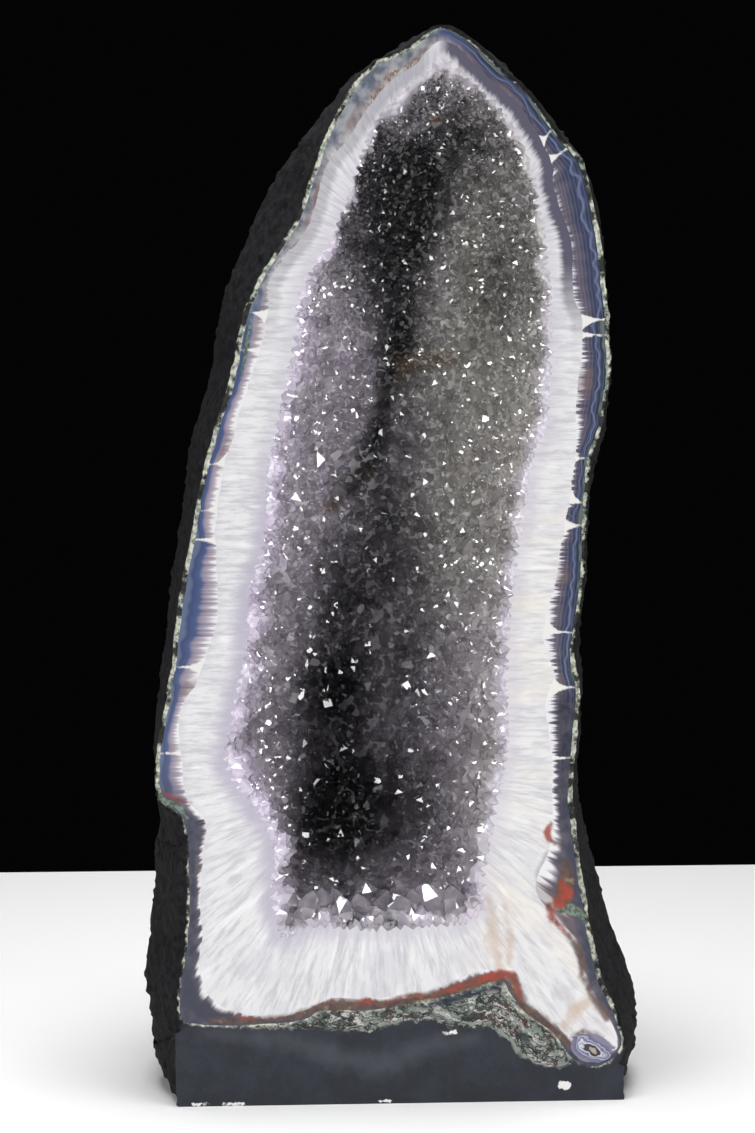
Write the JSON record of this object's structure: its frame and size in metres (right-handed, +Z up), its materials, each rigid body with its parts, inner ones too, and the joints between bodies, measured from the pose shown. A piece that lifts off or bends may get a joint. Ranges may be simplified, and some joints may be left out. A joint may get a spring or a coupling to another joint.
{
  "type": "amethyst geode",
  "caption": "Tall freestanding amethyst cathedral geode, sawn flat in front and underneath, with banded agate, white quartz and a crystal-lined cavity.",
  "frame": {"origin": "on the floor, under the middle of the stone's bounding box", "axes": "+Z up the stone towards its tip, -Y out of the polished cut face, +X to the right of someone who looks at that face"},
  "size_m": [0.2692, 0.2088, 0.562],
  "materials": {
    "basalt": "rough, sanded smooth on the foot",
    "agate": "polished",
    "quartz": "polished",
    "amethyst": "clear natural crystal faces",
    "nodule": "polished"
  },
  "bodies": {
    "root": {"basalt_matrix": "basalt", "agate_rim": "agate", "quartz_band": "quartz", "amethyst_lining": "amethyst", "agate_nodule": "nodule"}
  },
  "joints": []
}
